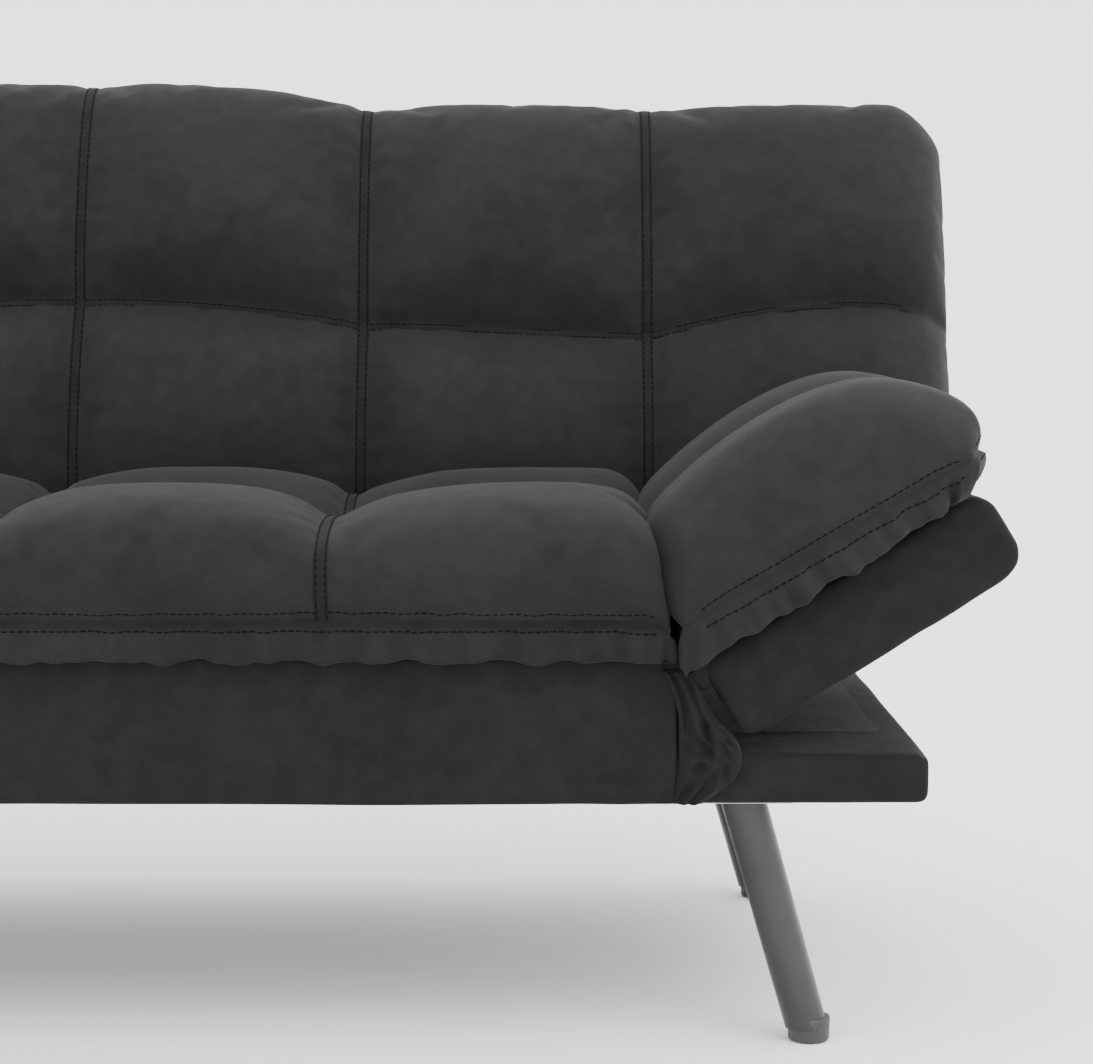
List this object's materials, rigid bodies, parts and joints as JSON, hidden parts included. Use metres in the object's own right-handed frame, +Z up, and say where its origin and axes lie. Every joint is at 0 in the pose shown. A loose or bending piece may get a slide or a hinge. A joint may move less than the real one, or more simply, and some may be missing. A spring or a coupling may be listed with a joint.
{
  "type": "futon sofa bed",
  "caption": "Low-arm futon sofa with quilted pads on folding panels; the back and both arms lower flat over a slab base to make a bed.",
  "frame": {"origin": "on the floor at the centre of the footprint", "axes": "+X to the sitter's left as seen from the front (viewer's right), along the length; +Y from the front to the back; +Z up"},
  "size_m": [1.8, 0.76, 0.8616],
  "materials": {
    "pad_suede": "quilted microsuede, soft nap, double-stitched taped seams",
    "panel_suede": "microsuede stretched over panels",
    "nonwoven_cloth": "grainy non-woven lining cloth",
    "frame_timber": "planed softwood, unfinished",
    "deck_plywood": "unfinished plywood",
    "leg_metal": "satin dark grey coating",
    "foot_plastic": "matt black moulding",
    "hinge_steel": "zinc-plated pressed steel"
  },
  "bodies": {
    "base": {"arm_hinge_fixed_front_left": "hinge_steel", "arm_hinge_fixed_front_right": "hinge_steel", "arm_hinge_fixed_rear_left": "hinge_steel", "arm_hinge_fixed_rear_right": "hinge_steel", "base_cover_front": "panel_suede", "base_cover_left": "panel_suede", "base_cover_rear": "panel_suede", "base_cover_right": "panel_suede", "base_dust_cloth": "nonwoven_cloth", "base_front_rail": "frame_timber", "base_rear_rail": "frame_timber", "base_side_rail_left": "frame_timber", "base_side_rail_right": "frame_timber", "base_top_cloth": "nonwoven_cloth", "click_clack_fixed_left": "hinge_steel", "click_clack_fixed_right": "hinge_steel", "foot_front_left": "foot_plastic", "foot_front_right": "foot_plastic", "foot_rear_left": "foot_plastic", "foot_rear_right": "foot_plastic", "leg_front_left": "leg_metal", "leg_front_right": "leg_metal", "leg_plate_front_left": "hinge_steel", "leg_plate_front_right": "hinge_steel", "leg_plate_rear_left": "hinge_steel", "leg_plate_rear_right": "hinge_steel", "leg_rear_left": "leg_metal", "leg_rear_right": "leg_metal", "seat_cover": "panel_suede", "seat_deck": "deck_plywood", "seat_front_rail": "frame_timber", "seat_hinge_rail": "frame_timber", "seat_pad": "pad_suede", "seat_rear_rail": "frame_timber", "seat_side_rail_left": "frame_timber", "seat_side_rail_right": "frame_timber"},
    "back": {"back_bottom_rail": "frame_timber", "back_cover": "panel_suede", "back_hinge_stile_left": "frame_timber", "back_hinge_stile_right": "frame_timber", "back_pad": "pad_suede", "back_side_stile_left": "frame_timber", "back_side_stile_right": "frame_timber", "back_top_rail": "frame_timber", "click_clack_moving_left": "hinge_steel", "click_clack_moving_right": "hinge_steel"},
    "arm_left": {"arm_cover_left": "panel_suede", "arm_front_rail_left": "frame_timber", "arm_hinge_moving_front_left": "hinge_steel", "arm_hinge_moving_rear_left": "hinge_steel", "arm_outer_rail_left": "frame_timber", "arm_pad_left": "pad_suede", "arm_rear_rail_left": "frame_timber"},
    "arm_right": {"arm_cover_right": "panel_suede", "arm_front_rail_right": "frame_timber", "arm_hinge_moving_front_right": "hinge_steel", "arm_hinge_moving_rear_right": "hinge_steel", "arm_outer_rail_right": "frame_timber", "arm_pad_right": "pad_suede", "arm_rear_rail_right": "frame_timber"}
  },
  "joints": [
    {"name": "back_recline", "type": "hinge", "parent": "base", "child": "back", "pos_m": [0, 0.15, 0.344], "axis": [1, 0, 0], "range_deg": [-73, 3]},
    {"name": "arm_fold_left", "type": "hinge", "parent": "base", "child": "arm_left", "pos_m": [-0.617, -0.165, 0.344], "axis": [0, 1, 0], "range_deg": [-32, 18]},
    {"name": "arm_fold_right", "type": "hinge", "parent": "base", "child": "arm_right", "pos_m": [0.617, -0.165, 0.344], "axis": [0, -1, 0], "range_deg": [-32, 18]}
  ]
}
